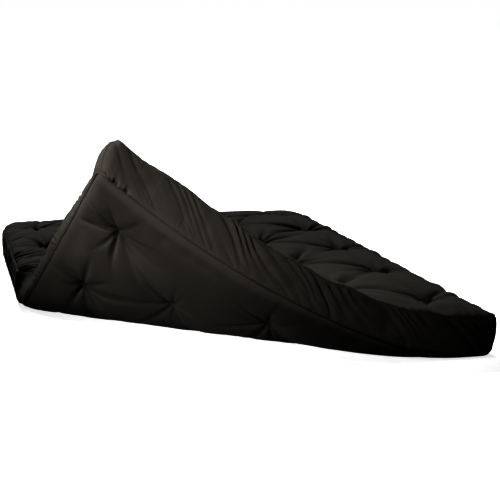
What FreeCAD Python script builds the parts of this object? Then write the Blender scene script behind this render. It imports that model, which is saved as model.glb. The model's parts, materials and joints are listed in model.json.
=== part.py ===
"""Futon mattress with one corner turned up, as a parametric model in millimetres.

The mattress is a boxed cotton casing (two panels and four border strips) over five layers of
filling, held together by tuft ties that pass right through and end in a knot on each face.
It lies flat on its underside, except the front left corner, which is rolled up about a
diagonal fold that runs from the front right corner to a point on the left end.

Every piece is laid out flat first, at (u, v, w): u across the width, v along the length and w
up through the thickness. Lay.place() then rolls that point up with the corner. The underside
keeps its length there, and the top side is squeezed, as in a real padded sheet.
"""
import FreeCAD
import Part
import math
import os

Vector = FreeCAD.Vector

SIZES = {
    "width": 1400,             # left end to right end
    "length": 2000,            # front to back
    "thickness": 150,          # floor to the top panel, between the tufts
    "cloth": 1.2,              # casing twill
    "clearance": 0.3,          # between neighbouring layers of cloth and filling
    "outer_batt": 22,          # cotton batting next to each panel
    "inner_batt": 25,          # cotton batting next to the core
    "column_margin": 140,      # left and right ends to the nearest tufts
    "row_margin": 200,         # front and back to the nearest tufts
    "columns": 5,              # tuft columns across the width
    "rows": 5,                 # tufts in an odd column; an even one has one fewer
    "top_dimple": 26,          # how far a tie pulls the top panel down
    "bottom_dimple": 14,       # how far it pulls the bottom panel up
    "dimple_spread": 60,       # radius at which a dimple has faded to a third
    "floor_press": 0.3,        # swell between the tufts that the floor presses flat
    "tie_diameter": 3,         # waxed cotton twine
    "tie_clearance": 0.5,      # twine to the hole it has opened, on the radius
    "knot_radius": 6,          # flattened twine knot, at its waist
    "knot_crown": 4,           # radius of the knot's top and bottom
    "knot_height": 5,
    "knot_clearance": 0.5,     # knot to the bottom of its dimple
    "thread": 1.2,             # heavy topstitching thread
    "seam_inset": 3,           # panel edge to the topstitching on the border
    "opening": 160,            # fill opening by the turned-up corner, closed by hand
    "closing_pitch": 18,       # hand stitch to hand stitch
    "closing_reach": 12,       # height of a hand stitch on the border
    "fold_reach": 1090,        # fold line's end on the left end, from the front
    "fold_angle_right": 29,    # degrees turned at the front right corner
    "fold_angle_left": 72,     # degrees turned at the left end
    "fold_radius_right": 430,  # radius of the underside at the front right corner
    "fold_radius_left": 175,   # radius of the underside at the left end
}
CELLS_ACROSS = 70              # surface grid over the width
CELLS_ALONG = 100              # surface grid over the length


def make_sheet(doc):
    """Put every driving size in a spreadsheet, one aliased cell each."""
    sheet = doc.addObject("Spreadsheet::Sheet", "Sizes")
    for row, (alias, value) in enumerate(SIZES.items(), start=1):
        sheet.set(f"A{row}", alias)
        sheet.set(f"B{row}", str(value))
        sheet.setAlias(f"B{row}", alias)
    doc.recompute()
    return sheet


class Lay:
    """How the mattress lies: where a point of the flat mattress is once the corner is up."""

    def __init__(self, sheet):
        self.size = {alias: float(sheet.get(alias)) for alias in SIZES}
        size = self.size
        reach = math.hypot(size["width"], size["fold_reach"])
        self.along = (-size["width"] / reach, size["fold_reach"] / reach)
        self.outward = (-size["fold_reach"] / reach, -size["width"] / reach)
        self.fold_length = reach
        self.ties = self.tie_columns()

    def bend(self, u, v):
        """Return the shifted (x, y), height and turn of the underside point over (u, v)."""
        size = self.size
        du = u - size["width"]
        across = du * self.outward[0] + v * self.outward[1]
        if across <= 0:
            return u, v, 0.0, 0.0
        share = (du * self.along[0] + v * self.along[1]) / self.fold_length
        share = min(max(share, 0.0), 1.0)
        radius = mix(size["fold_radius_right"], size["fold_radius_left"], share)
        full = math.radians(mix(size["fold_angle_right"], size["fold_angle_left"], share))
        turn = min(across / radius, full)
        beyond = max(across - radius * full, 0.0)
        inward = across - radius * math.sin(turn) - beyond * math.cos(turn)
        height = radius * (1 - math.cos(turn)) + beyond * math.sin(turn)
        return u - inward * self.outward[0], v - inward * self.outward[1], height, turn

    def place(self, u, v, w):
        """Return the point of the mattress as it lies, from its centred footprint and floor."""
        x, y, height, turn = self.bend(u, v)
        lean = w * math.sin(turn)
        return Vector(x - lean * self.outward[0] - self.size["width"] / 2,
                      y - lean * self.outward[1] - self.size["length"] / 2,
                      height + w * math.cos(turn))

    def placement(self, u, v, w):
        """Return a placement at (u, v, w) whose +Z runs up through the thickness."""
        up = self.place(u, v, w + 1) - self.place(u, v, w)
        return FreeCAD.Placement(self.place(u, v, w), FreeCAD.Rotation(Vector(0, 0, 1), up))

    def facing(self, u, v, w, off):
        """Return a placement off the surface at height w, with +Z along the surface's normal."""
        step_u = self.place(u + 1, v, w) - self.place(u - 1, v, w)
        step_v = self.place(u, v + 1, w) - self.place(u, v - 1, w)
        normal = step_u.cross(step_v).normalize()
        return FreeCAD.Placement(self.place(u, v, w) + normal * off,
                                 FreeCAD.Rotation(Vector(0, 0, 1), normal))

    def tie_columns(self):
        """Return the tufts' (u, v), column by column; even columns sit half a pitch along."""
        size = self.size
        columns, rows = int(size["columns"]), int(size["rows"])
        step_u = (size["width"] - 2 * size["column_margin"]) / (columns - 1)
        step_v = (size["length"] - 2 * size["row_margin"]) / (rows - 1)
        found = []
        for column in range(columns):
            odd = column % 2
            start = size["row_margin"] + step_v / 2 * odd
            u = size["column_margin"] + step_u * column
            found.append([(u, start + step_v * row) for row in range(rows - odd)])
        return found

    def dimple(self, u, v):
        """Return how much of a dimple's depth is felt at (u, v), 1 at a tuft."""
        spread = self.size["dimple_spread"] ** 2
        return sum(math.exp(-((u - a) ** 2 + (v - b) ** 2) / spread)
                   for column in self.ties for a, b in column)

    def underside(self, u, v):
        """Return the height w of the bottom panel's outer face, before the floor presses it."""
        felt = self.dimple(u, v)
        return self.size["bottom_dimple"] * felt - self.size["floor_press"] * (1 - felt)

    def topside(self, u, v):
        """Return the height w of the top panel's outer face."""
        return self.size["thickness"] - self.size["top_dimple"] * self.dimple(u, v)


def mix(start, end, share):
    """Return the value a share of the way from start to end."""
    return start + (end - start) * share


def steps(start, end, cells):
    """Return evenly spaced values from start to end, both included."""
    return [mix(start, end, i / cells) for i in range(cells + 1)]


def curve_through(points):
    """Return the curve through evenly timed points, a line where there are two."""
    curve = Part.BSplineCurve()
    curve.interpolate(Points=list(points), Parameters=steps(0, 1, len(points) - 1))
    return curve


def surface_through(grid):
    """Return the surface through a grid of points, worked out one direction at a time."""
    rows = [curve_through(points) for points in grid]
    columns = [curve_through(points) for points in zip(*(row.getPoles() for row in rows))]
    poles = [list(points) for points in zip(*(column.getPoles() for column in columns))]
    row, column = rows[0], columns[0]
    surface = Part.BSplineSurface()
    surface.buildFromPolesMultsKnots(
        poles, column.getMultiplicities(), row.getMultiplicities(),
        column.getKnots(), row.getKnots(), False, False, column.Degree, row.Degree)
    return surface


def slab(low, high):
    """Return the solid between two grids of points, joined by ruled faces round the rim."""
    surfaces = [surface_through(low), surface_through(high)]
    rims = [rim_edges(surface) for surface in surfaces]
    faces = [surface.toShape() for surface in surfaces]
    faces += [Part.makeRuledSurface(a, b) for a, b in zip(*rims)]
    shell = Part.makeShell(faces)
    shell.sewShape()
    solid = Part.makeSolid(Part.Shell(shell.Faces))
    if solid.Volume < 0:
        solid.reverse()
    return solid


def rim_edges(surface):
    """Return the four edges round a surface."""
    u_low, u_high, v_low, v_high = surface.bounds()
    curves = [surface.uIso(u_low), surface.uIso(u_high), surface.vIso(v_low), surface.vIso(v_high)]
    return [curve.toShape() for curve in curves]


def feature(doc, label, shape):
    """Add a shape to the document as a named sub-part."""
    piece = doc.addObject("Part::Feature", label)
    piece.Label = label
    piece.Shape = shape
    piece.Placement = FreeCAD.Placement()
    return piece


def group(doc, label, members):
    """Add a sub-part made of several separate solids."""
    piece = doc.addObject("Part::Compound", label)
    piece.Label = label
    piece.Links = members
    return piece


def rod(doc, label, diameter, height, placement):
    """Add a round bar whose radius and height are bound to the spreadsheet."""
    bar = doc.addObject("Part::Cylinder", label)
    bar.setExpression("Radius", f"({diameter}) / 2")
    bar.setExpression("Height", height)
    bar.Placement = placement
    return bar


def layer_solid(lay, inset, low, high):
    """Return a layer over the whole mattress, set in from its sides, between two heights."""
    size = lay.size
    across = steps(inset, size["width"] - inset, CELLS_ACROSS)
    along = steps(inset, size["length"] - inset, CELLS_ALONG)
    return slab([[lay.place(u, v, low(u, v)) for v in along] for u in across],
                [[lay.place(u, v, high(u, v)) for v in along] for u in across])


def drilled(doc, label, shape, holes):
    """Add a layer with the tie holes cut through it."""
    blank = doc.addObject("Part::Feature", f"{label}_blank")
    blank.Shape = shape
    piece = doc.addObject("Part::Cut", label)
    piece.Label = label
    piece.Base = blank
    piece.Tool = holes
    return piece


def tie_holes(doc, lay):
    """Add the bars that cut every layer where a tie passes, a little longer than the ties."""
    margin = lay.size["knot_height"]
    bars = [rod(doc, "tie_hole", "Sizes.tie_diameter + 2 * Sizes.tie_clearance",
                "Sizes.thickness + 2 * Sizes.knot_height", lay.placement(u, v, -margin))
            for column in lay.ties for u, v in column]
    return group(doc, "tie_holes", bars)


def panels(doc, lay, holes):
    """Add the casing's top and bottom panels, which reach the outer edge all round."""
    cloth = lay.size["cloth"]
    top = layer_solid(lay, 0, lambda u, v: lay.topside(u, v) - cloth, lay.topside)
    bottom = layer_solid(lay, 0, lay.underside, lambda u, v: lay.underside(u, v) + cloth)
    pressed = bottom.cut(floor_below(lay))
    return [drilled(doc, "top_panel", top, holes), drilled(doc, "bottom_panel", pressed, holes)]


def floor_below(lay):
    """Return a block whose top is the floor, wider than the mattress all round."""
    width, length, depth = lay.size["width"], lay.size["length"], lay.size["thickness"]
    corner = Vector(-width / 2 - depth, -length / 2 - depth, -depth)
    return Part.makeBox(width + 2 * depth, length + 2 * depth, depth, corner)


def filling(doc, lay, holes):
    """Add the five layers of filling, which share the space between the panels."""
    size = lay.size
    skin = size["cloth"] + size["clearance"]
    outer, inner = size["outer_batt"], size["inner_batt"]
    space = size["thickness"] - 2 * skin
    layers = (("lower_outer_batt", 0, outer),
              ("lower_inner_batt", outer, outer + inner),
              ("core_pad", outer + inner, space - outer - inner),
              ("upper_inner_batt", space - outer - inner, space - outer),
              ("upper_outer_batt", space - outer, space))

    def level(height):
        """Return the surface that lies at this height where the mattress isn't tufted."""
        def surface(u, v):
            return mix(lay.underside(u, v) + skin, lay.topside(u, v) - skin, height / space)
        return surface

    pieces = []
    for label, low, high in layers:
        lift = 0 if low == 0 else size["clearance"]
        shape = layer_solid(lay, skin, level(low + lift), level(high))
        pieces.append(drilled(doc, label, shape, holes))
    return pieces


def upright(lay, outer_run, inner_run, low, high):
    """Return a strip that stands between two runs, each a pair of end points (u, v)."""
    grids = []
    for start, end in (outer_run, inner_run):
        path = zip(steps(start[0], end[0], CELLS_ALONG), steps(start[1], end[1], CELLS_ALONG))
        grids.append([[lay.place(u, v, w) for w in (low, high)] for u, v in path])
    return slab(*grids)


def side_strips(lay, outer, depth, low, high, front_start=0.0):
    """Return the strips on the front, back, left and right, depth deep from an offset outer."""
    width, length = lay.size["width"], lay.size["length"]
    near, far = outer, outer + depth
    inset = max(far, 0) + lay.size["clearance"]
    front_u = max(front_start, near)
    runs = {
        "front": (((front_u, near), (width - near, near)), ((front_u, far), (width - near, far))),
        "back": (((near, length - near), (width - near, length - near)),
                 ((near, length - far), (width - near, length - far))),
        "left": (((near, inset), (near, length - inset)), ((far, inset), (far, length - inset))),
        "right": (((width - near, inset), (width - near, length - inset)),
                  ((width - far, inset), (width - far, length - inset))),
    }
    return {side: upright(lay, a, b, low, high) for side, (a, b) in runs.items()}


def borders(doc, lay):
    """Add the four border strips that stand between the two panels."""
    size = lay.size
    skin = size["cloth"] + size["clearance"]
    strips = side_strips(lay, 0, size["cloth"], skin, size["thickness"] - skin)
    return [feature(doc, f"{side}_border", shape) for side, shape in strips.items()]


def seam_stitching(doc, lay):
    """Add the topstitching along the top and bottom seams, on the borders' outer faces."""
    size = lay.size
    thread, inset = size["thread"], size["seam_inset"]
    outer = -thread - size["clearance"]
    top = size["thickness"] - inset
    upper = side_strips(lay, outer, thread, top - thread, top)
    lower = side_strips(lay, outer, thread, inset, inset + thread, size["opening"])
    return [feature(doc, "top_seam_stitching", Part.makeCompound(list(upper.values()))),
            feature(doc, "bottom_seam_stitching", Part.makeCompound(list(lower.values())))]


def corner_stitching(doc, lay):
    """Add one upright seam thread at each corner, between the top and bottom stitching."""
    size = lay.size
    off = size["thread"] / 2 + size["clearance"]
    start = size["seam_inset"] + size["thread"] + size["clearance"]
    height = "Sizes.thickness - 2 * (Sizes.seam_inset + Sizes.thread + Sizes.clearance)"
    corners = ((0, -off), (size["width"], -off),
               (0, size["length"] + off), (size["width"], size["length"] + off))
    threads = [rod(doc, "corner_thread", "Sizes.thread", height, lay.placement(u, v, start))
               for u, v in corners]
    return group(doc, "corner_stitching", threads)


def closing_stitches(doc, lay):
    """Add the hand stitches that close the fill opening by the turned-up corner."""
    size = lay.size
    pitch, off = size["closing_pitch"], size["thread"] / 2 + size["clearance"]
    count = int(size["opening"] // pitch) - 1
    stitches = [rod(doc, "hand_stitch", "Sizes.thread", "Sizes.closing_reach",
                    lay.placement(pitch * (i + 1), -off, size["cloth"] / 2))
                for i in range(count)]
    return group(doc, "closing_stitches", stitches)


def knot(doc, lay, u, v, w, off):
    """Add one flattened twine knot, centred off the panel: two cones, waist to waist."""
    half = lay.size["knot_height"] / 2
    cones = []
    for start, low, high in ((off - half, "knot_crown", "knot_radius"),
                             (off, "knot_radius", "knot_crown")):
        cone = doc.addObject("Part::Cone", "knot_half")
        cone.setExpression("Radius1", f"Sizes.{low}")
        cone.setExpression("Radius2", f"Sizes.{high}")
        cone.setExpression("Height", "Sizes.knot_height / 2")
        cone.Placement = lay.facing(u, v, w, start)
        cones.append(cone)
    bead = doc.addObject("Part::Fuse", "knot")
    bead.Base, bead.Tool = cones
    return bead


def tufting(doc, lay):
    """Add the ties and their knots, one group of each for every column of tufts."""
    size = lay.size
    seat = size["knot_clearance"] + size["knot_height"] / 2
    run = ("Sizes.thickness - Sizes.top_dimple - Sizes.bottom_dimple"
           " + 2 * (Sizes.knot_clearance - Sizes.clearance)")
    lead = size["knot_clearance"] - size["clearance"]
    pieces = []
    for number, column in enumerate(lay.ties, start=1):
        ties = [rod(doc, "tie", "Sizes.tie_diameter", run,
                    lay.placement(u, v, size["bottom_dimple"] - lead)) for u, v in column]
        upper = [knot(doc, lay, u, v, lay.topside(u, v), seat) for u, v in column]
        lower = [knot(doc, lay, u, v, lay.underside(u, v), -seat) for u, v in column]
        pieces += [group(doc, f"tuft_ties_{number}", ties),
                   group(doc, f"top_knots_{number}", upper),
                   group(doc, f"bottom_knots_{number}", lower)]
    return pieces


def check(doc, pieces):
    """Stop if any object failed to rebuild, or a sub-part isn't a sound shape."""
    for thing in doc.Objects:
        if {"Invalid", "Error"} & set(thing.State):
            raise RuntimeError(f"{thing.Label} is {thing.State}")
    for piece in pieces:
        if piece.Shape.isNull() or not piece.Shape.isValid() or not piece.Shape.Solids:
            raise RuntimeError(f"{piece.Label} isn't a valid solid")


def main():
    """Build the mattress, check it and write one STEP file for each sub-part."""
    doc = FreeCAD.newDocument("FutonMattress")
    lay = Lay(make_sheet(doc))
    holes = tie_holes(doc, lay)
    pieces = panels(doc, lay, holes)
    pieces += borders(doc, lay)
    pieces += filling(doc, lay, holes)
    pieces += seam_stitching(doc, lay)
    pieces += [corner_stitching(doc, lay), closing_stitches(doc, lay)]
    pieces += tufting(doc, lay)
    doc.recompute()
    check(doc, pieces)
    os.makedirs("parts", exist_ok=True)
    for piece in pieces:
        piece.Shape.exportStep(f"parts/{piece.Label}.step")
        print(f"{piece.Label}: {len(piece.Shape.Solids)} solids, {piece.Shape.Volume / 1e3:.1f} cm3")


main()
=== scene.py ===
"""Tufted futon mattress with one corner turned up: its cloth, seams, knots and filling.

Everything is laid out flat first, at (u, v, w): u across the width, v along the length, w up
through the thickness, in metres. place() then rolls the points up with the corner.
"""
import json
import math

import bpy
import numpy as np
from bpy.props import FloatProperty, FloatVectorProperty, IntProperty, PointerProperty
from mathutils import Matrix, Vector

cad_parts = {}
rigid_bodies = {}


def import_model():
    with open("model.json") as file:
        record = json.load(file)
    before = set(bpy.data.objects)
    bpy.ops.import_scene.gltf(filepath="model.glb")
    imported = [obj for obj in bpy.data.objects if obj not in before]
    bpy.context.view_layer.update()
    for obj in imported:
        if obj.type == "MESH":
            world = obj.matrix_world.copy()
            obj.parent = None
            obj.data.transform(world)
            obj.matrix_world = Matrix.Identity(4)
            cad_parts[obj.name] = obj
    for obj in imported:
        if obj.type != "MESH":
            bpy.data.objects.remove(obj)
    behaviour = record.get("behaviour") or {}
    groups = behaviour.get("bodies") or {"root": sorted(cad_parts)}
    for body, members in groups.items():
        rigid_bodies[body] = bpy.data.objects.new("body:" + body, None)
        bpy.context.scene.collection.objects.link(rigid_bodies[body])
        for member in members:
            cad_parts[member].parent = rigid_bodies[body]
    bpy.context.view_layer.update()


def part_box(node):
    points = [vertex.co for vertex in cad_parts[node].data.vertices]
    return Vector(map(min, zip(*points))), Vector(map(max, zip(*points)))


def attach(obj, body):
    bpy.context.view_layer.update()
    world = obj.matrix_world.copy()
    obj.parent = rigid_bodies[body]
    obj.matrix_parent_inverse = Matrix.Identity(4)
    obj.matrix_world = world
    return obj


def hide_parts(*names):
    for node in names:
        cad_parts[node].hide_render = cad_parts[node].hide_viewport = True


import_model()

BACK_LOW, BACK_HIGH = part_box("back_border")
_, PANEL_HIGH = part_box("top_panel")
SKIN = BACK_LOW.z              # one panel and its clearance
BODY = "root"
TINY = 1e-9

bl_info = {
    "name": "Tufted Futon Mattress",
    "version": (1, 0, 0),
    "blender": (4, 5, 0),
    "location": "View3D > Sidebar > Futon",
    "description": "Builds a tufted futon mattress with one corner turned up",
    "category": "Add Mesh",
}

# ---- the grids: cells of the cloth that is simulated, and how often each piece is refined
CELLS_ACROSS = 140
CELLS_ALONG = 160
CELLS_UP = 12
PANEL_REFINE = 1
BORDER_REFINE = 2
BORDER_ROWS = 44
ROW_BUNCHING = 0.6             # how far those rows are drawn towards the two seams
RIM_LINES = (0.15, 0.3, 0.5, 0.75)     # extra grid lines of a panel, in cells from its rim

# ---- the simulation
SIMULATED_FRAMES = 20
CLOTH_SETTINGS = {"quality": 6, "mass": 0.25, "tension_stiffness": 20,
                  "compression_stiffness": 20, "shear_stiffness": 8, "bending_stiffness": 2.5,
                  "air_damping": 2, "use_pressure": True}
TUFT_HELD = 0.01               # the cloth is held this near a tuft
EVEN_PASSES = 8                # how often the simulated shift is evened out
MOST_MOVE = 0.022              # cap on how far the simulation may carry a point

# ---- the cover as it is laid out
SHOULDER_REACH = 0.014         # how fast the bottom panel rises from its seam
SEAM_DROP = 0.012              # and how far that seam is drawn up
TOP_REACH = 0.032              # the same for the top, which rounds over more softly
TOP_DROP = 0.019
CROWN = 0.014                  # panels stand this proud between the tufts
LIFT_BLEND = 0.20              # the underside reaches its full crown this far into the fold
CREST = 0.034                  # the front edge of the turned-up part stands up by this much
CREST_AT = 0.28                # at this distance from the corner
CREST_WIDTH = 0.32
CREST_REACH = 0.08
RIM_UNEVEN = 0.005             # the top seam rides up and down by this much
RIM_WAVES = (0.09, 0.30)       # over these lengths
RIM_REACH = 0.035
RIM_SEED = 71
BACK_SAG = 0.020               # the back edge has packed down, apart from its left corner
SAG_REACH = 0.12
SAG_START = 0.30
# The top's front corners, drawn out to a point: which end of the width, how far, and the
# direction in flat coordinates. The first is the turned-up one.
CORNERS_OUT = ((0, 0.014, (-0.8, -0.2, 0.4)), (1, 0.018, (1.0, -0.1, 0.0)))
POINT_REACH = 0.060
BORDER_BELLY = 0.010           # a border bellies out by this much before it is blown up
BELLY_POWER = 0.6              # flattens that belly's sine wave
NOSE_OUT = 0.012               # it bulges by this much more at the turned-up tip
NOSE_REACH = 0.09
SQUEEZED_OUT = 0.030           # the left border is squeezed out by this much inside the bend
SQUEEZED_AT = 0.36
SQUEEZED_WIDTH = 0.30
DIMPLE_TIP = 0.006             # radius that rounds the tip of a dimple
PINCH_REACH = 0.018            # the narrow pinch that the twine makes
PINCH_SHARE = 0.38

# ---- creases and gathers. For each panel: its seed, its deepest crease at a tuft, the half
# width that creases start with, and the depth of its gathers beside the seams.
PANEL_CREASES = {"top_panel": (11, 0.032, 0.0090, 0.0070),
                 "bottom_panel": (111, 0.019, 0.0045, 0.001)}
DEEPEST = 0.032                # no crease goes deeper, to stay clear of the filling
FLAT_SHARE = 0.30              # the underside keeps this share of its creases near the floor
FLAT_BLEND = 0.40              # and all of them from this far into the fold
INNER_DEPTH = 0.024            # creases that the bend squeezes up on the top, at the left end
INNER_PITCH = 0.042
INNER_AT = -0.06               # about this far past the start of the fold
INNER_WIDTH = 0.15
INNER_LEAN = 0.25
INNER_LONG = 4.0               # these run on for longer than gathers at a seam do
INNER_SEED = 91
CREASE_START = 0.014           # a crease sets in within this of its tuft
CREASE_SPREAD = 0.05           # and widens by this share of the way along it
RIDGE = 0.45                   # share of a crease's depth that its ridges give back
RIDGE_WIDTH = 3.0
CREASE_WINDOW = 0.36           # creases are worked out this near their tuft
CREASE_TURN = 0.22             # each may turn this far off its even place, in radians
CREASE_BEND = 0.9              # and bend by this much, per metre
LONG_REACH = (0.12, 0.20)      # creases that point at a neighbouring tuft
LONG_STRENGTH = (0.65, 1.0)
SHORT_CREASES = 10             # short creases round each tuft
SHORT_REACH = (0.05, 0.14)
SHORT_STRENGTH = (0.4, 1.0)
LINKED_TUFTS = 0.42            # neighbours nearer than this are joined by long creases
# Gathers, in pitches: how uneven their spacing is and over what lengths, their own length and
# how it varies, and then their depth and how that varies.
SPACING_UNEVEN, SPACING_WAVES = 0.8, (2.5, 9)
GATHER_LONG, LONG_UNEVEN, LONG_WAVES, LEAST_LONG = 1.5, 0.9, (1.5, 5), 0.5
DEPTH_MEAN, DEPTH_UNEVEN, DEPTH_WAVES, DEPTH_RANGE = 0.62, 0.55, (2, 9), (0.1, 1.1)
VALLEY_POWER = 1.4             # makes their valleys sharper than their folds
PUCKER_PITCH = 0.042           # gathers of a panel beside its seam
GATHER_DEPTH = 0.0210          # folds of a border that hang from its top seam
GATHER_PITCH = 0.052
GATHER_LEAN = 1.25             # sideways run of a fold for its height
GATHER_CURL = 1.8              # and how fast it steepens, per metre below the seam
LEAN_UNEVEN = 0.25             # share by which the lean varies
LEAN_WAVES = (0.25, 0.7)       # over these lengths
FOOT_SHARE = 0.2               # folds from the bottom seam, as a share of those from the top
FOOT_PITCH = 0.8
GATHER_BASE = 0.25             # share of GATHER_DEPTH where the fold starts
GATHER_FAR = 0.85              # and where the border lies flat, away from the fold
GATHER_CENTRE = 0.42           # distance into the fold where the gathers are deepest
GATHER_WIDTH = 0.24
FINE_DEPTH = 0.0010            # finer folds at both seams of a border
FINE_PITCH = 0.026
SEAM_STITCH = 0.0065           # topstitching from the seam
SEAM_GROOVE = 0.0012           # how deep it pulls the cloth down
SEAM_GROOVE_HALF = 0.0020
SEAM_RISE = 0.0074             # both cloths stand this proud beside their seam
SEAM_SOFT = 0.0023             # and reach it within about this
SEAM_FAR = 0.035               # and have settled back at about this
CORNER_FADE = 0.010            # folds die away this near a seam or a corner

# ---- thread and twine
TUBE_SIDES = 6                 # the flat ends of a tube are drawn for six
BEAD_STEP = 0.002              # a seam's path is measured out in steps of this
STITCH_PITCH = 0.0062
STITCH_LENGTH = 0.0046
STITCH_RADIUS = 0.00055
STITCH_POINTS = 5
STITCH_DIP = 1.2               # a stitch arches up and its ends dip by this many radii
CORNER_POINTS = 60
CORNER_CLEAR = 2               # points left out at either end of a corner's thread
OPENING = 0.160                # fill opening at the turned-up corner
HAND_PITCH = 0.018             # its hand stitches
HAND_RADIUS = 0.0008
HAND_HEIGHT = 0.011            # hand stitches reach this high on the border
HAND_SLANT = 0.006             # and go on this far along the seam
HAND_RISE = 0.0035             # height of their arc
HAND_SUNK = 0.001              # and how deep its ends lie
HAND_POINTS = 9
GAPE_DEPTH = 0.008             # the opening sags in by this much between its hand stitches
GAPE_HEIGHT = 0.0040           # deepest at this height above the seam
GAPE_WAVES = (0.020, 0.055)
GAPE_END = 0.75                # it gapes over this share of its length
GAPE_FADE = 0.010              # and closes over about this
GAPE_BIAS = 0.25               # over nought, so pits are longer than what is between them
GAPE_SEED = 61
KNOT_POINTS = 36
KNOT_REACH = 0.0034            # mean radius of a knot's path
KNOT_WIND = 0.0015             # and how far it winds in and out
KNOT_FLAT = 0.8                # share of that by which it winds up and down
KNOT_SEAT = 0.0026
TWINE_RADIUS = 0.0012

# ---- filling
FILL_STEP = 4                  # the filling keeps every fourth grid line of the cover
FILL_CLEAR = 0.033             # filling from the cover, more than the deepest crease
# The layers of filling and their thicknesses in millimetres, from below, and half the gap
# between two.
LAYERS = (("lower_outer_batt", 22), ("lower_inner_batt", 25), ("core_pad", 53),
          ("upper_inner_batt", 25), ("upper_outer_batt", 22))
LAYER_GAP = 0.2

# ---- stage
FLOOR_REACH = 60.0
# Far lights: name, direction towards each, strength and the angle that softens it.
SKYLIGHTS = (("overhead", (-0.08, 1.05, 0.90), 6.2, 7),)
# Near softboxes: name, place, what it is aimed at, size, power in watts, and how wide the beam
# opens in degrees.
SOFTBOXES = (("left_box", (-3.20, -1.10, 0.90), (-0.48, -0.60, 0.36), 0.5, 4.5, 26),
             ("top_box", (-2.20, -1.65, 3.00), (-0.44, -0.78, 0.40), 0.5, 9.5, 22),
             ("low_box", (-1.40, -3.60, 0.35), (-0.22, -0.75, 0.34), 0.3, 1.0, 16))

SIDES = ("front", "right", "back", "left")
SIDE_SEEDS = (1000, 1050, 1100, 1150)
SOCKET_A, SOCKET_B = 6, 7      # colour sockets of a mix node
SEED_DARK = 0.72               # batting's darker seeds, as a share of its colour
HOLLOW_SIZE = 4                # its hollows, as times the size of its strands
BATTING_SCALE = 60.0           # its strands, in cells of noise per metre
NEEDLED_SCALE = 140.0
FILL_TIGHT = 0.6               # how tight its layers are, from 0, slack, to 1


def length_property(name, description, default):
    """Return a property for a length in metres."""
    return FloatProperty(name=name, description=description, default=default, unit="LENGTH",
                         precision=4)


def angle_property(name, description, degrees):
    """Return a property for an angle."""
    return FloatProperty(name=name, description=description, default=math.radians(degrees),
                         subtype="ANGLE")


def color_property(name, description, default):
    """Return a property for a linear colour."""
    return FloatVectorProperty(name=name, description=description, default=default,
                               subtype="COLOR", size=3, min=0, max=1)


class FutonSizes(bpy.types.PropertyGroup):
    """How big the mattress is, where it is tufted and how its corner is turned up."""

    width: length_property("Width", "Left end to right end", BACK_HIGH.x - BACK_LOW.x)
    length: length_property("Length", "Front to back", 2 * PANEL_HIGH.y)
    thickness: length_property("Thickness", "Floor to the seam of the top panel",
                               BACK_HIGH.z + SKIN)
    fold_reach: length_property("Fold Reach", "End of the fold line on the left end", 1.09)
    fold_angle_right: angle_property("Right Fold Angle", "Turn at the front right corner", 29)
    fold_angle_left: angle_property("Left Fold Angle", "Turn at the left end", 72)
    fold_radius_right: length_property("Right Fold Radius", "Underside at the right", 0.43)
    fold_radius_left: length_property("Left Fold Radius", "Underside at the left", 0.175)
    column_margin: length_property("Column Margin", "Ends to the nearest tufts", 0.14)
    row_margin: length_property("Row Margin", "Front and back to the nearest tufts", 0.2)
    columns: IntProperty(name="Columns", description="Tuft columns", default=5, min=2)
    rows: IntProperty(name="Rows", description="Tufts in an odd column", default=5, min=2)
    top_dimple: length_property("Top Dimple", "Depth of a tuft in the top panel", 0.026)
    bottom_dimple: length_property("Bottom Dimple", "Depth of a tuft underneath", 0.014)
    dimple_spread: length_property("Dimple Spread", "Radius of a dimple", 0.06)
    corner_radius: length_property("Corner Radius", "Rounding of the front corners", 0.026)
    back_radius: length_property("Back Radius", "Rounding of the back corners", 0.13)


class FutonCloth(bpy.types.PropertyGroup):
    """How full the cover is, and its colours."""

    panel_fullness: FloatProperty(name="Panel Fullness", description="Spare cloth in a panel",
                                  default=0.015, subtype="FACTOR")
    border_fullness: FloatProperty(name="Border Fullness", description="Spare cloth in a border",
                                   default=0.012, subtype="FACTOR")
    pressure: FloatProperty(name="Pressure", description="Outward push of the filling",
                            default=4.0)
    charcoal: color_property("Charcoal", "The cover's own colour", (0.0200, 0.0178, 0.0150))
    worn: color_property("Worn Charcoal", "Where the nap is rubbed paler",
                         (0.0300, 0.0270, 0.0230))
    thread: color_property("Thread", "Topstitching and twine", (0.0095, 0.0088, 0.0078))
    batting: color_property("Batting", "Cotton filling", (0.80, 0.76, 0.68))
    core: color_property("Core", "Fibre core", (0.86, 0.85, 0.80))


class FutonStage(bpy.types.PropertyGroup):
    """Camera, lights and floor."""

    eye: FloatVectorProperty(name="Eye", description="Where the camera stands",
                             default=(-0.984, -3.948, 1.081), subtype="TRANSLATION", size=3)
    heading: angle_property("Heading", "Camera's turn to the right of +Y", 16.5)
    tilt: angle_property("Tilt", "Camera's tilt below the horizon", 12.4)
    lens: FloatProperty(name="Lens", description="Focal length in millimetres", default=77.3)
    floor: color_property("Floor", "Plain pale floor", (0.86, 0.86, 0.86))
    ambient: FloatProperty(name="Ambient", description="Light from all round", default=0.02)
    glow: FloatProperty(name="Glow", description="The floor's own light, which keeps it pale",
                        default=0.80)
    gamma: FloatProperty(name="Gamma", description="Below one, dark tones stand further apart",
                         default=0.64)


# ---------------------------------------------------------------- the lie of the mattress


def mix(start, end, share):
    """Return the value a share of the way from start to end."""
    return start + (end - start) * share


def fold_axes(sizes):
    """Return the fold line's length, its direction, and the direction towards the corner."""
    reach = math.hypot(sizes.width, sizes.fold_reach)
    along = np.array([-sizes.width, sizes.fold_reach]) / reach
    outward = np.array([-sizes.fold_reach, -sizes.width]) / reach
    return reach, along, outward


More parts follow.
